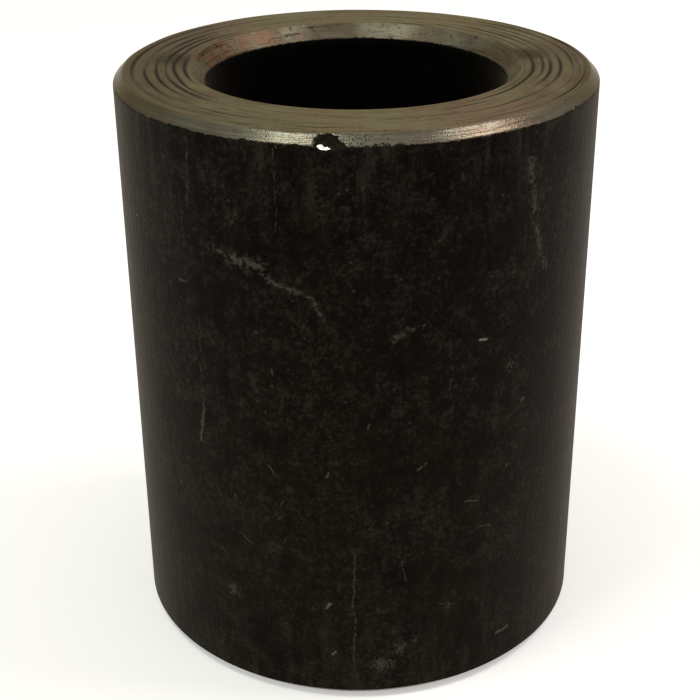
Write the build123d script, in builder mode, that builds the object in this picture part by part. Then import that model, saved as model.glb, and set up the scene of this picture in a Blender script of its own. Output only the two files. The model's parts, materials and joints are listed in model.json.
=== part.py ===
from build123d import *
from math import cos, radians, sin
import os

# Spacer sleeve: a thick-walled tube faced and chamfered at both ends.
# It stands on one end face, with its axis on Z and its origin in the middle of that face.
# Lengths are in millimetres and angles in degrees.

# The tube: two-inch bar stock with a three-eighths wall, cut to two and a half inches.
outer_diameter = 50.8
bore_diameter = 31.75
length = 63.5

# The edge breaks, all turned at 45 degrees. The bore's is the wider one.
outer_chamfer = 1.05
bore_chamfer = 1.5

# The rings that a coarse facing feed leaves in each end face.
ring_pitch = 1.05
ring_width = 0.3
ring_depth = 0.08
plain_border = 0.5

# A knock on the top rim has left a round dent.
nick_ball_radius = 2.6
nick_depth = 0.5
nick_bearing = -96
nick_lean = 22.5

outer_radius = outer_diameter / 2
bore_radius = bore_diameter / 2

# The flat land of an end face lies between the two chamfers.
land_inner_radius = bore_radius + bore_chamfer
land_width = outer_radius - outer_chamfer - land_inner_radius

# The rings sit evenly about the middle of the land, as many as its plain borders leave room for.
ring_count = int((land_width - 2 * plain_border) / ring_pitch) + 1
first_ring_radius = land_inner_radius + (land_width - (ring_count - 1) * ring_pitch) / 2

# The knock strikes the corner where the top chamfer meets the wall, square to that corner.
nick_reach = nick_ball_radius - nick_depth
nick_radius = outer_radius + nick_reach * cos(radians(nick_lean))
nick_height = length - outer_chamfer + nick_reach * sin(radians(nick_lean))
nick_x = nick_radius * cos(radians(nick_bearing))
nick_y = nick_radius * sin(radians(nick_bearing))

with BuildPart() as spacer_sleeve:
    # The wall, cut square from the tube.
    with BuildSketch():
        Circle(outer_radius)
        Circle(bore_radius, mode=Mode.SUBTRACT)
    extrude(amount=length)

    # Both ends are chamfered outside and in the bore.
    edges_by_radius = spacer_sleeve.edges().filter_by(GeomType.CIRCLE).group_by(SortBy.RADIUS)
    chamfer(edges_by_radius[-1], outer_chamfer)
    chamfer(edges_by_radius[0], bore_chamfer)

    # Each facing ring is a shallow V. A diamond centred on the face cuts it, its other half in the air.
    with BuildSketch(Plane.XZ):
        for ring in range(ring_count):
            ring_radius = first_ring_radius + ring * ring_pitch
            with Locations((ring_radius, 0), (ring_radius, length)):
                Polygon(
                    (-ring_width / 2, 0),
                    (0, -ring_depth),
                    (ring_width / 2, 0),
                    (0, ring_depth),
                )
    revolve(axis=Axis.Z, mode=Mode.SUBTRACT)

    # The knock leaves a shallow round dent across the corner.
    with Locations((nick_x, nick_y, nick_height)):
        Sphere(nick_ball_radius, mode=Mode.SUBTRACT)

os.makedirs("parts", exist_ok=True)
spacer_sleeve.part.label = "spacer_sleeve"
export_step(spacer_sleeve.part, "parts/spacer_sleeve.step")
print("rings in each face", ring_count)
print("volume, cubic centimetres", round(spacer_sleeve.part.volume / 1000, 3))
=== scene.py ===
# %% [markdown]
# # A worn spacer sleeve
#
# The part is a short length of thick steel tube. It was sawn from black drawn stock, faced at
# both ends, and its edges were broken at 45 degrees, outside and in the bore. It stands on one end.
#
# What makes it look real is the contrast between its surfaces: a black wall that still has the
# scale of the mill, brown ends with coarse rings from the lathe, brighter edges where the scale
# has worn off, and a bore that is nearly black.
#
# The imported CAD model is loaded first, as the fixed frame. Every size below comes from it.

# %% Load the frame
import json
from math import cos, pi, radians, sin, tau

import bpy
import numpy as np
from mathutils import Matrix, Vector


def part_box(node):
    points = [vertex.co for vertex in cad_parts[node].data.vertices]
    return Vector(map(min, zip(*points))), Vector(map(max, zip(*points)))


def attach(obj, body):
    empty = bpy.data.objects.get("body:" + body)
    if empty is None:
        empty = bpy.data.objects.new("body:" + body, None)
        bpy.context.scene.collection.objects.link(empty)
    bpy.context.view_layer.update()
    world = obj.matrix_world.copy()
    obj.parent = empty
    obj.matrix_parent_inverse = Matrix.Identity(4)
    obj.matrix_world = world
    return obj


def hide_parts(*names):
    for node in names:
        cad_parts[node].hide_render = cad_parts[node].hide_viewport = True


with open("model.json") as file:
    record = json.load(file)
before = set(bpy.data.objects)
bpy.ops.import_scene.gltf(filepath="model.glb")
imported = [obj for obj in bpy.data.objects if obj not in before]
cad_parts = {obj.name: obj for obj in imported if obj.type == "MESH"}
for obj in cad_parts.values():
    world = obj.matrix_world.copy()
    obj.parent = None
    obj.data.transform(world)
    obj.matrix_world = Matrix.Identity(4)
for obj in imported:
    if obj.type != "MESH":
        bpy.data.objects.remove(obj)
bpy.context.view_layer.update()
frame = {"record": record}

# %% [markdown]
# The node's box gives the outside diameter and the length, and the bore mount gives the bore.
# The wall of the bore stops where its chamfers start, so its length gives their size as well.
# The outer chamfers have no mount, so their size and the rings' are repeated from the CAD source.

# %% Sizes, in millimetres
sleeve_low, sleeve_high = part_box("spacer_sleeve")
mounts = {mount["name"]: mount for mount in frame["record"]["mounts"]}
length = 1000 * (sleeve_high.z - sleeve_low.z)
outer_radius = 500 * (sleeve_high.x - sleeve_low.x)
bore_radius = mounts["bore"]["dims"]["r_mm"]
bore_chamfer = (length - mounts["bore"]["dims"]["length_mm"]) / 2
outer_chamfer = 1.05
ring_pitch = 1.05
land_inner = bore_radius + bore_chamfer
land_outer = outer_radius - outer_chamfer
print(f"sleeve {2 * outer_radius:.2f} x {2 * bore_radius:.2f} x {length:.2f} mm")
print(f"bore chamfer {bore_chamfer:.2f} mm")

# %% [markdown]
# ## The mesh
#
# A turned part is a section swept round an axis, so the mesh is one too: a closed loop of rings
# that runs up the bore, out over the top land, down the wall and back in under the foot. A
# revolve of eight corners would give the right outline, but its edges would be perfect. Here the
# corners of the section may wander a little with the bearing, as edges broken by hand do, and the
# rings lie close together where there is something to shape: at the edges and on the lands.
#
# The bearing is the angle round the axis, counted from the front (-Y) towards the right (+X).
# The bearings are a degree or so apart, and closer round the nick.

# %% Bearings round the axis
nick_bearing = radians(-6)
fine_reach = radians(7)
fine_count = 56
wide_count = 300
fine_from = nick_bearing - fine_reach
fine_to = nick_bearing + fine_reach
fine_bearings = np.linspace(fine_from, fine_to, fine_count, endpoint=False)
wide_bearings = np.linspace(fine_to, fine_from + tau, wide_count, endpoint=False)
bearings = np.concatenate([fine_bearings, wide_bearings])
print(len(bearings), "bearings")

# %% [markdown]
# Wear and chatter are never the same twice round a rim, but they join up after a full turn. A sum
# of a few cosines of the bearing with random phases does both. Its seed makes it the same each run.

# %% A wobble round the rim
def wobble(seed, slowest, fastest):
    """A smooth random curve over the bearings, about -1 to 1, that closes on itself."""
    chance = np.random.default_rng(seed)
    total = np.zeros(len(bearings))
    for lobes in range(slowest, fastest + 1):
        total += chance.normal() * np.cos(lobes * bearings + chance.uniform(0, tau))
    return total / np.sqrt(fastest - slowest + 1)


edge_wander = 0.035
top_break = outer_chamfer + edge_wander * wobble(1, 2, 14)
foot_break = outer_chamfer + edge_wander * wobble(2, 2, 14)
top_bore_break = bore_chamfer + edge_wander * wobble(3, 1, 6)
foot_bore_break = bore_chamfer + edge_wander * wobble(4, 1, 6)
print(f"top chamfer {top_break.min():.2f} to {top_break.max():.2f} mm")

# %% [markdown]
# The section's corners are given as radius and height. Between two of them, the steps say where
# the rings lie: evenly, or crowded towards both so that the edges stay crisp.
#
# Handling has rounded both edges of the top chamfer. A thin round catches the lamps as a bright
# line, which a sharp edge can't do. Each round is a short strip of its own, drawn straight at
# first and then bulged towards the sharp corner it replaces. The wall is drawn a few thousandths
# of a millimetre inside the CAD wall, so that the finished sleeve never leaves the CAD's box.

# %% The rings of the section
def evenly(count):
    return np.linspace(0, 1, count, endpoint=False)


def crowded(count):
    return (1 - np.cos(pi * evenly(count))) / 2


def level(height):
    return np.full(len(bearings), float(height))


kept_inside = 0.004
wall_radius = outer_radius - kept_inside
land_round = 0.42
rim_round = 0.18
slant = sin(pi / 4)
corners = [
    ("bore", level(bore_radius), foot_bore_break, crowded(16)),
    ("top bore chamfer", level(bore_radius), length - top_bore_break, crowded(12)),
    ("top land", bore_radius + top_bore_break, level(length), evenly(104)),
    ("land round", outer_radius - top_break - land_round, level(length), evenly(6)),
    ("top chamfer", outer_radius - top_break + land_round * slant, length - land_round * slant, evenly(10)),
    ("rim round", outer_radius - rim_round * slant, length - top_break + rim_round * slant, evenly(5)),
    ("wall", level(wall_radius), length - top_break - rim_round, crowded(56)),
    ("foot chamfer", level(wall_radius), foot_break, crowded(10)),
    ("foot land", outer_radius - foot_break, level(0), evenly(36)),
    ("foot bore chamfer", bore_radius + foot_bore_break, level(0), crowded(8)),
]
sharp_corners = {
    "land round": (outer_radius - top_break, length),
    "rim round": (outer_radius, length - top_break),
}
strips_radius, strips_height, ring_names = [], [], []
for corner, following in zip(corners, corners[1:] + corners[:1]):
    name, start_radius, start_height, steps = corner
    share = steps[:, None]
    strip_radius = start_radius + share * (following[1] - start_radius)
    strip_height = start_height + share * (following[2] - start_height)
    if name in sharp_corners:
        sharp_radius, sharp_height = sharp_corners[name]
        bulge = 2 * share * (1 - share)
        strip_radius += bulge * (sharp_radius - (start_radius + following[1]) / 2)
        strip_height += bulge * (sharp_height - (start_height + following[2]) / 2)
    strips_radius.append(strip_radius)
    strips_height.append(strip_height)
    ring_names += [name] * len(steps)
ring_radius = np.vstack(strips_radius)
ring_height = np.vstack(strips_height)
ring_names = np.array(ring_names)
print(ring_radius.shape[0], "rings of", ring_radius.shape[1], "points")

# %% [markdown]
# The facing tool was fed fast, and it moved outwards while the work turned, so it left one spiral
# groove about a millimetre from turn to turn. The groove drifts a little, breaks off, and holds
# dirt. It is deeper and darker at the left and right than at the front and back, and that darkness
# at the sides is partly dirt and partly painted shade. Each turn is a soft V, cut into the land's
# rings. The same curve is kept on the mesh as an attribute, so that the finish can darken exactly
# where the groove is.
#
# Turns are given by their radius at the front. Going once round, each ends where the next begins.
# Between them lie many fine lines, faint and broken, that the edge of the same tool scratched.

# %% Facing grooves in both lands
from_front = (bearings + pi) % tau - pi
turns = [18.3, 19.25, 20.1, 21.1, 22.3, 23.65]
turns_and_ends = [turns[0] - 1.0] + turns + [turns[-1] + 1.0]
shown_in_front = 0.22
# The grooves grow deeper and darker towards the sides; their darkness there is partly painted shade.
sides_deeper_and_shaded = shown_in_front + 0.78 * np.sin(from_front) ** 2
fine_line_count = 36


def groove_lines(land, seed, depth, half_width):
    """Cuts the spiral into one land. Returns the depth to cut and the dirt, ring by ring."""
    chance = np.random.default_rng(seed)
    radius = ring_radius[ring_names == land]
    cut = np.zeros_like(radius)
    dirt = np.zeros_like(radius)
    for line, at_front in enumerate(turns_and_ends):
        wander = 0.07 * wobble(seed + line, 1, 4) + 0.03 * wobble(seed + 60 + line, 6, 16)
        distance = radius - (at_front + ring_pitch * from_front / tau + wander)
        strength = np.clip(0.72 + 0.42 * wobble(seed + 20 + line, 1, 9), 0.0, 1.15) * sides_deeper_and_shaded
        core = np.exp(-((distance / half_width) ** 2))
        soft = np.exp(-((distance / (2.4 * half_width)) ** 2))
        shape = (0.55 * core + 0.45 * soft) * strength
        shape = shape * ((radius > land_inner + 0.25) & (radius < land_outer - 0.4))
        cut = np.maximum(cut, depth * shape)
        dirt = np.maximum(dirt, shape)
    for line in range(fine_line_count):
        middle = chance.uniform(land_inner + 0.2, land_outer - 0.5)
        middle = middle + 0.08 * wobble(seed + 140 + line, 1, 3)
        strength = np.clip(0.5 * wobble(seed + 80 + line, 3, 14) - 0.1, 0, 0.8)
        shape = np.exp(-(((radius - middle) / (half_width / 2)) ** 2)) * strength
        cut = cut + 0.3 * depth * shape
        dirt = np.maximum(dirt, 0.85 * shape)
    return cut, dirt


grime = np.zeros_like(ring_radius)
top_cut, grime[ring_names == "top land"] = groove_lines("top land", 5, 0.09, 0.15)
foot_cut, grime[ring_names == "foot land"] = groove_lines("foot land", 205, 0.05, 0.16)
ring_height[ring_names == "top land"] -= top_cut
ring_height[ring_names == "foot land"] += foot_cut
print(f"deepest groove {top_cut.max():.3f} mm")

# %% [markdown]
# The points then go from radius, height and bearing to X, Y and Z. Knocks are made the way they
# happen: a hard round thing is pressed in, and what it would overlap is pushed back to its
# surface. The big one stands for the CAD model's nick. It is a little smaller and lies wholly in
# the chamfer, and a slight raggedness of the ball keeps it from looking drilled. Small knocks
# follow the rim. The last two are on the far side, where their places are guessed.
#
# Two attributes go with them. Every knock is darkened by some amount, which is kept as knocked. A
# little of the nick, its lower lip, was burnished by the blow and is bare metal, kept as bare; the
# finish colours it near white, a painted glint on bare metal.

# %% Press the knocks into the rim
points = np.stack(
    [ring_radius * np.sin(bearings), -ring_radius * np.cos(bearings), ring_height],
    axis=-1,
)
knocked = np.zeros_like(ring_radius)
bare = np.zeros_like(ring_radius)


def press_ball(bearing, ball, depth, drop=outer_chamfer, lean=22.5, ragged=0.0, dirt=1.0):
    """Presses a ball into the top chamfer, drop below the end face, and darkens the knock by dirt, 0 to 1.
    All sizes in millimetres.
    """
    reach = ball - depth
    out = outer_radius - outer_chamfer + drop + reach * cos(radians(lean))
    up = length - drop + reach * sin(radians(lean))
    middle = np.array([out * sin(bearing), -out * cos(bearing), up])
    away = points - middle
    distance = np.linalg.norm(away, axis=-1)
    rough = ball + ragged * np.sin(7 * points[..., 0] + 3) * np.sin(11 * points[..., 2])
    inside = distance < rough
    points[inside] = middle + away[inside] / distance[inside][:, None] * rough[inside][:, None]
    knocked[inside] = np.maximum(knocked[inside], dirt)


def burnish(bearing, height, half_width, half_height, amount=1.0):
    """Marks a small oval near the rim as bare metal, coloured near white as a painted glint. Sizes in
    millimetres.
    """
    aside = (from_front - bearing) * outer_radius / half_width
    above = (ring_height - height) / half_height
    on_outside = ring_radius > land_outer - 0.2
    spot = np.clip(1.6 - np.hypot(aside, above), 0, 1) * amount * on_outside
    np.maximum(bare, spot, out=bare)


press_ball(nick_bearing, ball=2.3, depth=0.42, drop=0.75, lean=36, ragged=0.07)
press_ball(radians(-3.4), ball=1.5, depth=0.16, drop=0.95, lean=30)
press_ball(radians(-0.9), ball=0.9, depth=0.08)
press_ball(radians(1.9), ball=1.2, depth=0.07)
press_ball(radians(-12.5), ball=1.6, depth=0.07, dirt=0.8)
press_ball(radians(-17), ball=1.2, depth=0.06, dirt=0.8)
press_ball(radians(31), ball=2.2, depth=0.05, dirt=0.3)
press_ball(radians(-52), ball=2.4, depth=0.1, dirt=0.5)
press_ball(radians(117), ball=3.0, depth=0.2, dirt=0.6)
press_ball(radians(-161), ball=2.0, depth=0.15, dirt=0.8)
burnish(radians(-7.2), length - 0.98, 0.24, 0.15)
burnish(radians(-6.3), length - 1.05, 0.34, 0.09)
burnish(radians(-1.6), length - 0.62, 0.1, 0.05, amount=0.5)
burnish(radians(-64), length - 1.9, 0.12, 0.12, amount=0.6)
burnish(radians(-61), length - 0.4, 0.1, 0.1, amount=0.5)
print(int((knocked > 0).sum()), "points moved by knocks,", int((bare > 0).sum()), "of them or near them bare")

# %% [markdown]
# The rings become one closed mesh: each patch of four neighbours is a face, both round the axis
# and along the section. The attributes go with the points.

# %% Build the sleeve's mesh
rings, around = ring_radius.shape
number = np.arange(rings * around).reshape(rings, around)
below = np.roll(number, -1, axis=0)
patches = np.stack([number, below, np.roll(below, -1, axis=1), np.roll(number, -1, axis=1)], axis=-1)
mesh = bpy.data.meshes.new("worn_sleeve")
mesh.from_pydata((points.reshape(-1, 3) / 1000).tolist(), [], patches.reshape(-1, 4).tolist())
for name, values in (("grime", grime), ("knocked", knocked), ("bare", bare)):
    layer = mesh.attributes.new(name, "FLOAT", "POINT")
    layer.data.foreach_set("value", values.astype(np.float32).ravel())
mesh.shade_smooth()
mesh.update()
sleeve = bpy.data.objects.new("worn_sleeve", mesh)
bpy.context.scene.collection.objects.link(sleeve)
print(2 * len(mesh.polygons), "triangles")

# %% [markdown]
# ## Shader maths
#
# A finish is a formula over the surface. Written as arithmetic it can be read. The class below
# holds one output of a node. Its operators add Math nodes, and its other methods add the nodes
# for colours and vectors, because a Math node would turn a colour grey.

# %% A socket that does arithmetic
class Socket:
    """One output of a node. Arithmetic on it adds nodes to its material."""

    def __init__(self, tree, output):
        self.tree = tree
        self.output = output

    def node(self, kind, settings=None, inputs=None, output=0):
        """Adds a node: its settings first, then its sockets by name or number, then gives one output."""
        made = self.tree.nodes.new(kind)
        for name, value in (settings or {}).items():
            setattr(made, name, value)
        for name, value in (inputs or {}).items():
            if isinstance(value, Socket):
                self.tree.links.new(value.output, made.inputs[name])
            else:
                made.inputs[name].default_value = value
        return Socket(self.tree, made.outputs[output])

    def math(self, operation, *values):
        return self.node("ShaderNodeMath", {"operation": operation}, dict(enumerate(values)))

    def __add__(self, other):
        return self.math("ADD", self, other)

    __radd__ = __add__

    def __sub__(self, other):
        return self.math("SUBTRACT", self, other)

    def __rsub__(self, other):
        return self.math("SUBTRACT", other, self)

    def __mul__(self, other):
        return self.math("MULTIPLY", self, other)

    __rmul__ = __mul__

    def __truediv__(self, other):
        return self.math("DIVIDE", self, other)

    def __pow__(self, other):
        return self.math("POWER", self, other)

    def lower(self, other):
        return self.math("MINIMUM", self, other)

    def higher(self, other):
        return self.math("MAXIMUM", self, other)

    def rises(self, start, end):
        """0 below start and 1 above end, with a soft step between. Turned round, it falls."""
        low, high, first, last = (start, end, 0.0, 1.0) if start < end else (end, start, 1.0, 0.0)
        return self.node(
            "ShaderNodeMapRange",
            {"interpolation_type": "SMOOTHSTEP"},
            {"Value": self, "From Min": low, "From Max": high, "To Min": first, "To Max": last},
        )

    def vector(self, operation, *values, output=0):
        return self.node("ShaderNodeVectorMath", {"operation": operation}, dict(enumerate(values)), output)

    def distance(self, point):
        """How far this place is from another, in millimetres."""
        return self.vector("DISTANCE", self, point, output="Value")

    def fades(self, reach, strength):
        """Full strength where this distance is 0, falling evenly to nothing at reach."""
        return self.node(
            "ShaderNodeMapRange",
            {},
            {"Value": self, "From Min": 0.0, "From Max": reach, "To Min": strength, "To Max": 0.0},
        )

    def blend(self, first, second):
        """A colour: first where this mask is 0, second where it is 1."""
        return self.node("ShaderNodeMix", {"data_type": "RGBA"}, {0: self, 6: first, 7: second}, output=2)

    def blend_number(self, first, second):
        """A number: first where this mask is 0, second where it is 1."""
        return self.node("ShaderNodeMix", {"data_type": "FLOAT"}, {0: self, 2: first, 3: second})

    def noise(self, scale, detail=2.0, roughness=0.5):
        """Cloudy noise, about 0.5 on average. This socket is the place, in millimetres."""
        return self.node(
            "ShaderNodeTexNoise",
            {},
            {"Vector": self, "Scale": scale, "Detail": detail, "Roughness": roughness},
        )


def shade(red, green, blue):
    """A colour as it looks on a screen, 0 to 255, turned into the light values that nodes use."""
    parts = [value / 255 for value in (red, green, blue)]
    return (*[p / 12.92 if p <= 0.04045 else ((p + 0.055) / 1.055) ** 2.4 for p in parts], 1.0)


print("a mid grey is", [round(part, 3) for part in shade(128, 128, 128)])

# %% [markdown]
# ## Where on the sleeve
#
# Every mask starts from where a point lies: its radius, its height, and its place on the wall
# unrolled flat, as millimetres round from the front and millimetres up. All come from the object's
# own coordinates, so the finish stays with the metal whichever way it is looked at. Noise uses the
# plain coordinates instead, which have no seam.
#
# The back half is unrolled by itself, turned half round and end for end, so that whatever is drawn
# on the front's wall comes out there too. The real back isn't known, so its marks are a guess.

# %% Coordinates of the finish
steel = bpy.data.materials.new("worn_black_steel")
steel.use_nodes = True
steel.node_tree.nodes.clear()
tree = steel.node_tree
start = tree.nodes.new("ShaderNodeTexCoord")
metres = Socket(tree, start.outputs["Object"])
place = metres.vector("MULTIPLY", metres, (1000.0, 1000.0, 1000.0))
axes = tree.nodes.new("ShaderNodeSeparateXYZ")
tree.links.new(place.output, axes.inputs[0])
x, y, height = (Socket(tree, axes.outputs[part]) for part in ("X", "Y", "Z"))
radius = (x * x + y * y) ** 0.5
bearing = x.math("ARCTAN2", x, -1.0 * y)
half_turn = pi * outer_radius
at_back = bearing.math("GREATER_THAN", bearing.math("ABSOLUTE", bearing), pi / 2)
along = bearing * outer_radius - at_back * half_turn * bearing.math("SIGN", bearing)
upward = height + at_back * (length - 2 * height)
flat_wall = x.node("ShaderNodeCombineXYZ", {}, {0: along, 1: upward, 2: 0.0})
print("coordinates: place, radius, height, bearing, and the wall unrolled flat")

# %% [markdown]
# Surfaces change at the corners of the section. The borders are ragged, because scale flakes off
# a worn edge in crumbs, so a little noise is added to the radius before each step. Five noises
# are shared by all the finishes: soft clouds, crumbs, fine grain, and two chalky ones for marks.

# %% Noises and masks of the surfaces
clouds = place.noise(0.14, detail=4.0, roughness=0.65)
crumbs = place.noise(1.7, detail=3.0, roughness=0.65)
grain = place.noise(4.5, detail=2.0, roughness=0.7)
chalk = place.noise(3.4, detail=2.0, roughness=0.75)
flour = place.noise(2.0, detail=2.0, roughness=0.65)
chips = clouds.rises(0.5, 0.62) * crumbs.rises(0.5, 0.7)
ragged_radius = radius + (crumbs - 0.5) * 0.22 + (grain - 0.5) * 0.12 + chips * 0.35
from_end = height.lower(length - height)
well_down = from_end.rises(outer_chamfer + 0.2, outer_chamfer + 0.6)
on_wall = ragged_radius.rises(outer_radius - 0.1, outer_radius - 0.03)
on_wall = on_wall.higher(well_down * radius.rises(outer_radius - 0.4, outer_radius - 0.2))
on_chamfer = (radius + (crumbs - 0.5) * 0.2).rises(land_outer - 0.2, land_outer + 0.2) * (1 - on_wall)
in_bore = (radius + (crumbs - 0.5) * 0.25).rises(bore_radius + 0.14, bore_radius + 0.02)
in_bore = in_bore.higher(well_down * radius.rises(bore_radius + 0.3, bore_radius + 0.1))
on_bore_chamfer = radius.rises(land_inner + 0.06, land_inner - 0.06) * (1 - in_bore)
grooves = x.node("ShaderNodeAttribute", {"attribute_name": "grime"}, {}, "Fac")
knocks = x.node("ShaderNodeAttribute", {"attribute_name": "knocked"}, {}, "Fac")
burnished_and_glint = x.node("ShaderNodeAttribute", {"attribute_name": "bare"}, {}, "Fac")
print("masks: wall, chamfer, bore, bore chamfer, grooves, knocks, bare metal")

# %% [markdown]
# ## The wall: black mill scale
#
# Drawn tube keeps a thin black oxide skin. It isn't one black: it drifts from olive to brown to a
# greenish grey in clouds of a few millimetres, it has fine lines along the tube from the die, and
# dust and rubbed specks lie on it. Clouds come from noise, and the die lines from noise that is
# squeezed flat along Z, so that each cell is a long upright streak.

# %% Mill scale colour
blotches = place.vector("ADD", place, (37.0, 11.0, 5.0)).noise(0.5, detail=3.0, roughness=0.65)
line_squeeze = 0.035
streak_squeeze = 0.16
upright = place.vector("MULTIPLY", place, (1.0, 1.0, line_squeeze))
smeared = place.vector("MULTIPLY_ADD", place, (1.0, 1.0, streak_squeeze), (9.0, 3.0, 0.0))
die_lines = upright.noise(1.5, detail=3.0, roughness=0.65)
streaks = smeared.noise(0.6, detail=3.0, roughness=0.65)
near_ends = height.rises(length - 16, length - 1) + height.rises(16, 1)
olive_black = shade(29, 26, 17)
brown_black_and_shade = shade(25, 20, 15)
green_black = shade(28, 28, 21)
# The scale is greener and lighter to the left, browner and darker to the right: partly the oxide's own tone,
# partly painted light and shade for the lamps' uneven light from each side.
right_shade_and_tone = 0.5 + x * (0.5 / outer_radius)
warm_and_shade_share = (clouds - 0.5) * 2.4 + right_shade_and_tone
scale_colour = warm_and_shade_share.rises(0.2, 0.8).blend(olive_black, brown_black_and_shade)
scale_colour = ((1 - right_shade_and_tone) * blotches).rises(0.3, 0.44).blend(scale_colour, green_black)
# The scale is made darker towards the top of the unrolled wall.
darker_up_the_wall = upward.rises(8, 66) * 0.5
mottle = (grain - 0.5) * 0.9 + (die_lines - 0.5) * 0.8 + (crumbs - 0.5) * 1.2 - darker_up_the_wall
mottle = mottle + (blotches - 0.5) * 1.6 + (clouds - 0.5) * 1.4 + (streaks - 0.5) * near_ends * 2.0
print("mill scale colour: clouds, blotches, crumbs, grain, streaks and die lines")

# %% [markdown]
# Handling leaves pale marks on black: powdery scrapes, thin upright lines where the tube slid over
# something, and short flecks. Each is a stroke from point to point over the unrolled wall, with
# points as a bearing in degrees and a height in millimetres. A little noise shakes the wall's
# coordinates, so that no stroke is ruler straight. The chalky noise breaks it up, as a rough board
# breaks up chalk: the nearer to the stroke's middle, the more of it takes.

# %% Strokes on the wall
shake = place.node("ShaderNodeTexNoise", {}, {"Vector": place, "Scale": 0.55, "Detail": 1.0}, "Color")
shaken_wall = shake.vector("MULTIPLY_ADD", shake, (1.0, 1.0, 0.0), flat_wall)
shake_middle = Vector((0.5, 0.5, 0.0))


def wall_point(degrees, up):
    return Vector((radians(degrees) * outer_radius, up, 0.0)) + shake_middle


def stroke(stops, half_width, strength):
    """A mask of one mark, up to its strength along a run of (bearing, height) stops, 0 elsewhere."""
    nearest = None
    for first, last in zip(stops, stops[1:]):
        begin = wall_point(*first)
        run = wall_point(*last) - begin
        away = shaken_wall.vector("SUBTRACT", shaken_wall, begin)
        share = away.vector("DOT_PRODUCT", away, run / run.length_squared, output="Value")
        share = share.node("ShaderNodeClamp", {}, {"Value": share})
        closest = share.node("ShaderNodeVectorMath", {"operation": "SCALE"}, {0: run, 3: share})
        distance = away.distance(closest)
        nearest = nearest.lower(distance) if nearest else distance
    return nearest.fades(half_width, strength)


scrapes = [
    ([(-33, 51.2), (-28, 50.5)], 1.0, 0.7),
    ([(-28, 50.5), (-21.5, 50.2)], 1.4, 1.0),
    ([(-24, 50.2), (-18, 48.7), (-13, 48.0)], 0.7, 0.95),
    ([(-13, 48.0), (-9.5, 47.6), (-7.4, 45.2)], 0.6, 0.8),
    ([(40.5, 59.3), (41.5, 55.7), (43, 52.2)], 1.0, 0.75),
    ([(43, 52.2), (45, 49.4), (47, 47.6)], 0.9, 0.85),
    ([(7.4, 43.1), (9.8, 43.7)], 0.7, 0.8),
    ([(11, 44.2), (14.5, 44.6)], 0.6, 0.7),
]
hairlines = [
    ([(-38, 43), (-38.6, 33)], 0.24, 0.45),
    ([(-38.6, 33), (-39.6, 28.9)], 0.3, 0.75),
    ([(-39, 61.4), (-39.3, 55)], 0.22, 0.5),
    ([(-42, 58), (-41.6, 47)], 0.2, 0.4),
    ([(-17.5, 62), (-17.3, 54)], 0.2, 0.45),
    ([(-1.2, 19), (-1, 5)], 0.26, 0.6),
    ([(21, 42), (21.4, 34)], 0.2, 0.4),
    ([(-27.8, 54.1), (-25.6, 55.8)], 0.22, 0.55),
    ([(17, 52.8), (19, 54)], 0.2, 0.5),
    ([(-29.5, 19.2), (-25.5, 18.3)], 0.26, 0.6),
    ([(30.5, 19.8), (33.2, 19.6)], 0.22, 0.6),
    ([(10, 17.5), (11.5, 15.2)], 0.24, 0.55),
    ([(13.4, 28.2), (15.6, 29.1)], 0.22, 0.65),
    ([(-44, 46.5), (-41, 46.7)], 0.26, 0.7),
]
flecks = [
    ([(27.8, 41.9), (30, 41.6)], 0.24, 1.0),
    ([(-7.9, 11.8), (-7.1, 12.4)], 0.36, 0.6),
    ([(-6.8, 5.8), (-6, 6.2)], 0.3, 0.6),
    ([(25.7, 23.4), (29, 23.1)], 0.22, 0.46),
    ([(36.3, 4.8), (40.3, 4.9)], 0.42, 0.55),
    ([(-61.8, 51), (-61.2, 51.2)], 0.3, 0.6),
    ([(-7, 28), (-6.8, 28.5)], 0.28, 0.5),
    ([(2.2, 33.4), (2.4, 34.2)], 0.26, 0.45),
    ([(-19.2, 39), (-19.1, 39.6)], 0.32, 0.4),
    ([(-21, 28.6), (-19.8, 27.8)], 0.24, 0.45),
    ([(41.4, 33.1), (42.3, 33.3)], 0.32, 0.5),
    ([(37, 26), (37.3, 26.4)], 0.26, 0.45),
    ([(-18.4, 24.1), (-18, 24.5)], 0.24, 0.4),
]


def strongest(masks):
    """Wherever masks overlap, the strongest of them shows."""
    found = masks[0]
    for mask in masks[1:]:
        found = found.higher(mask)
    return found


powder = strongest([stroke(*mark) for mark in scrapes])
powder = powder * ((powder + (flour - 0.5) * 5.0).rises(0.1, 1.3))
lines = strongest([stroke(*mark) for mark in hairlines])
lines = lines * ((lines + (chalk - 0.5) * 2.2).rises(0.2, 0.65))
bright = strongest([stroke(*mark) for mark in flecks]).rises(0.15, 0.9)
print(len(scrapes), "scrapes,", len(hairlines), "hairlines,", len(flecks), "flecks")

# %% [markdown]
# Between the strokes lie rubbed patches, where dust has caught, and a fine scatter of specks. The
# patches are soft discs that the chalky noise breaks up. One dark round stain is made the same way.

# %% Rubbed patches and specks
def patch(degrees, up, reach, strength):
    """A soft disc on the unrolled wall."""
    return shaken_wall.distance(wall_point(degrees, up)).fades(reach, strength)


patches = [
    (5.5, 4.4, 2.6, 0.9),
    (10, 6.3, 2.2, 0.8),
    (14, 7.2, 1.8, 0.6),
    (22, 10.9, 2.4, 0.65),
    (-32, 11.6, 2.2, 0.8),
    (-62, 16.2, 2.2, 0.6),
    (37, 38, 2.0, 0.65),
]
rubbed = strongest([patch(*one) for one in patches])
rubbed = rubbed * (rubbed + (chalk - 0.5) * 2.2).rises(0.3, 1.0)
dark_spot = patch(9.2, 15.9, 2.2, 1.6).lower(1.0)

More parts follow.
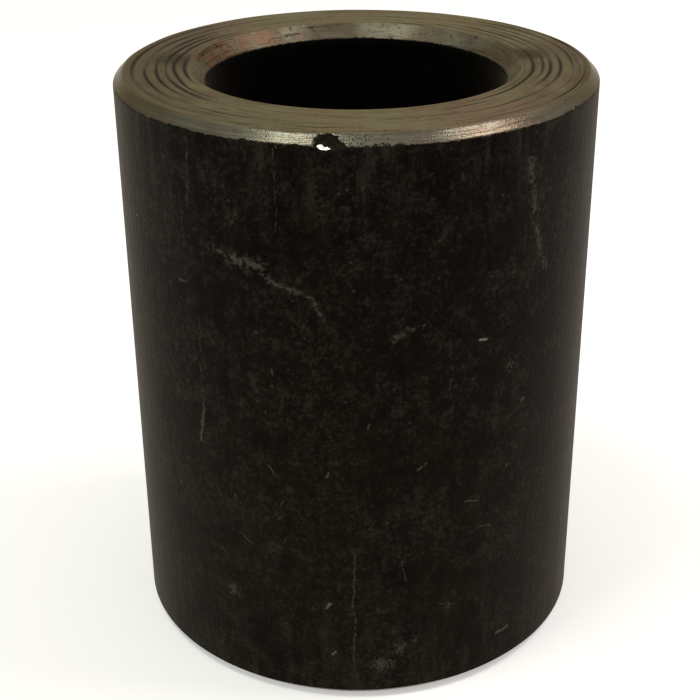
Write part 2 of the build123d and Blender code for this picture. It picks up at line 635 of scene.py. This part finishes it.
specks = shaken_wall.node(
    "ShaderNodeTexVoronoi",
    {"voronoi_dimensions": "2D"},
    {"Vector": shaken_wall, "Scale": 0.34},
)
specks = specks.rises(0.07, 0.03) * clouds.rises(0.47, 0.62)
dusting = (clouds + (blotches - 0.5) + (crumbs - 0.5) * 1.5 + (grain - 0.5)).rises(0.45, 1.0)
print(len(patches), "patches")

# %% [markdown]
# The marks are one dusty colour over the black, each kind by its own share. Dust is dull, so where
# it lies the wall is rougher.

# %% Wall colour and roughness
dust = shade(120, 114, 102)
smears = (streaks + (chalk - 0.5) * 0.5).rises(0.5, 0.75) * near_ends
shares = [
    powder * 0.32,
    lines * 0.42,
    rubbed * 0.4,
    specks * 0.16,
    dusting * 0.07,
    smears * 0.08,
    bright,
]
pale = strongest(shares)
wall_colour = mottle.rises(-1.15, 0.75).blend(shade(7, 5, 4), scale_colour)
wall_colour = (dark_spot * 0.75).blend(wall_colour, shade(9, 4, 9))
wall_colour = pale.blend(wall_colour, dust)
wall_roughness = 0.52 + (grain - 0.5) * 0.25 + (blotches - 0.5) * 0.25 + pale * 0.2
print("wall: scale, dark spot, pale marks")

# %% [markdown]
# ## The turned ends: brown steel
#
# The faced ends are bare steel that has dulled: handling has browned it, damp has put a little rust
# on it, and the grooves have filled with dirt. It is still metal underneath, so it keeps most of a
# metal's shine. Between the deep grooves the tool left fine rings. Their noise is stretched along
# the rim, by taking the radius in full and the direction from the axis only a little.

# %% End face finish
toward = x.node("ShaderNodeCombineXYZ", {}, {0: radius * 4.2, 1: x / radius * 2.6, 2: y / radius * 2.6})
fine_rings = toward.noise(1.0, detail=3.0, roughness=0.65)
stain = place.vector("ADD", place, (3.0, 29.0, 0.0)).noise(0.16, detail=2.0, roughness=0.55)
brown_steel = shade(107, 97, 75)
grey_steel = shade(107, 103, 81)
red_steel = shade(111, 92, 78)
dirt = shade(22, 17, 12)
left_rust = place.distance((-16.5, 11.0, length)) + (blotches - 0.5) * 22
right_rust = place.distance((12.0, -19.0, length)) + (blotches - 0.5) * 18
rusted = left_rust.rises(11, 4) + right_rust.rises(8, 3)
# Both ends are darker towards the left and right than at the front and back. This is painted shade, for the
# turned rings, which send less light back at the sides.
side_shade = ((x - 2.5) * (x - 2.5)) / (outer_radius * outer_radius)
left_spot = place.distance((-19.5, 1.5, length))
right_spot = place.distance((17.9, 2.5, length))
dirt_spots = (left_spot.lower(right_spot) + (crumbs - 0.5) * 5).rises(3.4, 1.0)
land_colour = stain.rises(0.42, 0.58).blend(brown_steel, grey_steel)
land_colour = (rusted * 0.7).lower(1.0).blend(land_colour, red_steel)
# The land's side darkening is painted shade.
land_side_shade = (side_shade + (clouds - 0.5) * 1.6).rises(0.1, 0.85) * 0.7
land_colour = land_side_shade.blend(land_colour, shade(72, 62, 54))
land_colour = (fine_rings.rises(0.5, 0.34) * 0.6 + crumbs.rises(0.45, 0.3) * 0.4).blend(land_colour, dirt)
land_colour = (dirt_spots * 0.75).blend(land_colour, dirt)
land_colour = ((grooves + (chalk - 0.5) * 0.7).rises(0.1, 0.75) * 0.92).blend(land_colour, dirt)
land_roughness = 0.42 + (fine_rings - 0.5) * 0.3 + grooves * 0.3
print("end face: steel, rust, dirt")

# %% [markdown]
# The chamfers were cut by a keener tool and are rubbed by every hand, so they are smoother and take
# a brighter shine than the lands. Dirt still lies in specks along them. The nick is the newest
# break, and its lip is bare metal coloured near white, brighter than steel: a painted glint on bare metal.

# %% Chamfer and knock finish
worn_steel = shade(99, 98, 87)
# Bare spots are coloured near white, brighter than steel: bare metal with a painted glint.
bare_steel_and_glint = shade(250, 248, 240)
chamfer_colour = (fine_rings + (clouds - 0.5) * 1.5).rises(0.2, 0.8).blend(shade(80, 74, 63), worn_steel)
chamfer_colour = ((blotches.rises(0.56, 0.7) + rusted) * 0.18).lower(1.0).blend(chamfer_colour, red_steel)
# The chamfer is darkened towards the left and right too, as painted shade.
chamfer_side_shade = (side_shade + (clouds - 0.5) * 1.2).rises(0.2, 0.9) * 0.6
chamfer_colour = chamfer_side_shade.blend(chamfer_colour, shade(58, 52, 45))
nick_distance = place.distance((-1.0, -25.0, length))
chamfer_dirt = (chalk - nick_distance.rises(7, 2) * 0.1).rises(0.36, 0.27) * 0.75
chamfer_colour = chamfer_dirt.blend(chamfer_colour, dirt)
bare_metal_and_glint = (burnished_and_glint + (crumbs - 0.5) * 0.8).rises(0.35, 0.6)
# Knocks are made darker, each by its given amount.
broken = (knocks + (crumbs - 0.5) * 1.2).rises(0.45, 0.75) * (1 - bare_metal_and_glint)
chamfer_roughness = 0.2 + (crumbs - 0.5) * 0.1 + (fine_rings - 0.5) * 0.15 + broken * 0.4
bore_chamfer_colour = stain.rises(0.4, 0.62).blend(shade(78, 70, 58), shade(94, 91, 78))
bore_chamfer_colour = (rusted * 0.7).lower(1.0).blend(bore_chamfer_colour, shade(98, 74, 58))
bore_chamfer_dirt = fine_rings.rises(0.5, 0.32) * 0.5 + crumbs.rises(0.46, 0.34) * 0.5
bore_chamfer_colour = bore_chamfer_dirt.blend(bore_chamfer_colour, dirt)
print("chamfers and knocks")

# %% [markdown]
# Light hardly reaches into the bore. Its skin is scale like the wall's, but painted darker, nearly
# black, as painted shade for the depth of the bore. It only shows a faint grey mottle near the mouth.

# %% Bore finish
bore_scale_and_shade = blotches.rises(0.5, 0.8).blend(shade(2, 2, 2), shade(7, 7, 6))
print("bore")

# %% [markdown]
# ## Scale and steel in one finish
#
# The sleeve has two skins, and a mask mixes them: black scale on the wall and in the bore, and
# bare steel on the turned ends. Each skin has its own bump for what is too fine for the mesh.
# Heights are in millimetres, and the Bump node's distance makes them metres.
#
# The scale isn't a metal to the eye. It has hardly any shine seen straight on, but its fine dust
# catches light at a low angle, which is what sheen is for. Its bump is grain and die lines.

# %% Black scale
scale_relief = (grain - 0.5) * 0.03 + (die_lines - 0.5) * 0.03 + (crumbs - 0.5) * 0.04
scale_bump = scale_relief.node("ShaderNodeBump", {}, {"Height": scale_relief, "Distance": 0.001}, "Normal")
scale_skin = x.node(
    "ShaderNodeBsdfPrincipled",
    {},
    {
        "Base Color": in_bore.blend(wall_colour, bore_scale_and_shade),
        "Roughness": wall_roughness,
        "Normal": scale_bump,
        "Specular IOR Level": 0.02,
        "Sheen Weight": 0.115,
        "Sheen Roughness": 0.35,
        "Sheen Tint": (1.0, 0.83, 0.64, 1.0),
    },
    "BSDF",
)
print("scale skin")

# %% [markdown]
# The steel is metal with dirt on it, so it is less of a metal in the grooves and where it was
# knocked. Old steel reflects a little brown, which its specular tint gives. Its bump is the fine
# rings that the facing tool left round the axis.

# %% Bare steel
steel_colour = on_chamfer.blend(land_colour, chamfer_colour)
steel_colour = on_bore_chamfer.blend(steel_colour, bore_chamfer_colour)
# There they are coloured nearly black.
steel_colour = (broken * 0.95).blend(steel_colour, shade(16, 11, 8))
# The bare spots' near-white colour is partly a painted glint.
steel_colour = bare_metal_and_glint.blend(steel_colour, bare_steel_and_glint)
smooth = on_chamfer.higher(bare_metal_and_glint)
steel_roughness = smooth.blend_number(land_roughness, chamfer_roughness)
steel_relief = (fine_rings - 0.5) * 0.06 + (grain - 0.5) * 0.02
steel_bump = steel_relief.node("ShaderNodeBump", {}, {"Height": steel_relief, "Distance": 0.001}, "Normal")
steel_skin = x.node(
    "ShaderNodeBsdfPrincipled",
    {},
    {
        "Base Color": steel_colour,
        "Roughness": steel_roughness,
        "Metallic": 0.85 - grooves * 0.5 - broken * 0.5,
        "Normal": steel_bump,
        "Specular IOR Level": 0.1,
        "Specular Tint": (0.6, 0.54, 0.44, 1.0),
    },
    "BSDF",
)
print("steel skin")

# %% [markdown]
# The two are mixed by one mask: scale wherever the wall or the bore is, apart from the bare spots
# near the rim. The finished sleeve then takes the CAD sleeve's place on the same body.

# %% One finish from both
scaled = (on_wall * (1 - bare_metal_and_glint)).higher(in_bore)
surface = scaled.node("ShaderNodeMixShader", {}, {0: scaled, 1: steel_skin, 2: scale_skin}, "Shader")
steel_out = tree.nodes.new("ShaderNodeOutputMaterial")
tree.links.new(surface.output, steel_out.inputs["Surface"])
mesh.materials.append(steel)
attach(sleeve, "root")
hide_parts("spacer_sleeve")
print(len(tree.nodes), "nodes in the finish")

# %% [markdown]
# ## Floor, light and camera
#
# The sleeve stands on a plain white floor that runs out of sight into a white surround. The floor
# is a matte white that also glows a little towards the camera and towards shiny metal, so it shows
# as white and still takes a faint shadow.

# %% Floor
floor_mesh = bpy.data.meshes.new("floor")
far = 6.0
floor_mesh.from_pydata([(-far, -far, 0), (far, -far, 0), (far, far, 0), (-far, far, 0)], [], [(0, 1, 2, 3)])
floor = bpy.data.objects.new("floor", floor_mesh)
bpy.context.scene.collection.objects.link(floor)
floor_paint = bpy.data.materials.new("white_floor")
floor_paint.use_nodes = True
floor_tree = floor_paint.node_tree
floor_tree.nodes.clear()
path = floor_tree.nodes.new("ShaderNodeLightPath")
camera_ray = Socket(floor_tree, path.outputs["Is Camera Ray"])
glossy_ray = Socket(floor_tree, path.outputs["Is Glossy Ray"])
seen = camera_ray.higher(glossy_ray)
matte = seen.node("ShaderNodeBsdfDiffuse", {}, {"Color": shade(236, 236, 236)}, "BSDF")
glow_strength = 0.37
glow = seen.node(
    "ShaderNodeEmission",
    {},
    {"Color": shade(255, 255, 255), "Strength": seen * glow_strength},
    "Emission",
)
both = seen.node("ShaderNodeAddShader", {}, {0: matte, 1: glow}, "Shader")
floor_out = floor_tree.nodes.new("ShaderNodeOutputMaterial")
floor_tree.links.new(both.output, floor_out.inputs["Surface"])
floor_mesh.materials.append(floor_paint)
print("floor laid")

# %% [markdown]
# The surround lights the sleeve softly from everywhere, a touch greener from the left and a touch
# pinker from the right. Two large soft lamps stand above it, one over the left shoulder and a
# warmer one to the right, and their reflections make the bright stretches along the chamfers.
# Neither lamp is seen by the camera itself.

# %% Light
surround = bpy.data.worlds.new("surround")
bpy.context.scene.world = surround
surround.use_nodes = True
sky_tree = surround.node_tree
sky_tree.nodes.clear()
sky_path = sky_tree.nodes.new("ShaderNodeLightPath")
to_camera = Socket(sky_tree, sky_path.outputs["Is Camera Ray"])
sky_seen = to_camera
for other_ray in ("Is Glossy Ray", "Is Transmission Ray"):
    sky_seen = sky_seen.higher(Socket(sky_tree, sky_path.outputs[other_ray]))
soft_level = 0.6
sky_side = sky_seen.node("ShaderNodeTexCoord", {}, {}, "Generated")
sky_side = sky_side.node("ShaderNodeSeparateXYZ", {}, {0: sky_side}, "X").rises(-0.9, 0.9)
sky_tint = sky_side.blend(shade(250, 252, 238), shade(255, 244, 236))
sky_colour = to_camera.blend(sky_tint, shade(255, 255, 255))
sky = sky_seen.node(
    "ShaderNodeBackground",
    {},
    {"Color": sky_colour, "Strength": sky_seen * (1 - soft_level) + soft_level},
    "Background",
)
sky_out = sky_tree.nodes.new("ShaderNodeOutputWorld")
sky_tree.links.new(sky.output, sky_out.inputs["Surface"])


def soft_lamp(name, direction, distance, side, watts, colour):
    """A square lamp that shines on the rim from a direction, in metres and watts."""
    data = bpy.data.lights.new(name, "AREA")
    data.size = side
    data.energy = watts
    data.color = colour
    lamp = bpy.data.objects.new(name, data)
    toward_lamp = Vector(direction).normalized()
    lamp.location = Vector((0, 0, length / 1000)) + toward_lamp * distance
    lamp.rotation_mode = "QUATERNION"
    lamp.rotation_quaternion = toward_lamp.to_track_quat("Z", "Y")
    lamp.visible_camera = False
    bpy.context.scene.collection.objects.link(lamp)
    return lamp


soft_lamp("left_lamp", (-0.31, -0.20, 0.93), 0.5, 0.14, 0.75, (0.97, 1.0, 0.92))
soft_lamp("right_lamp", (0.57, 0.02, 0.82), 0.5, 0.16, 0.85, (1.0, 0.93, 0.90))
print("surround and two lamps")

# %% [markdown]
# The camera stands close, a little above the sleeve, and looks down at it. It is barely turned and
# barely tilted sideways, as a hand-held one is.

# %% Camera
camera_data = bpy.data.cameras.new("camera")
camera_data.sensor_width = 36.0
camera_data.lens = 72.05
camera_data.clip_start = 0.01
camera = bpy.data.objects.new("camera", camera_data)
camera_turn, camera_dip, camera_roll = radians(-0.346), radians(26.387), radians(-0.467)
stand = Matrix.Translation((0.0, -0.14537, 0.10179))
aim = Matrix.Rotation(-camera_turn, 4, "Z") @ Matrix.Rotation(pi / 2 - camera_dip, 4, "X")
camera.matrix_world = stand @ aim @ Matrix.Rotation(camera_roll, 4, "Z")
bpy.context.scene.collection.objects.link(camera)
bpy.context.scene.camera = camera
bpy.context.scene.view_settings.view_transform = "Standard"
print("camera at", [round(value, 4) for value in camera.location])
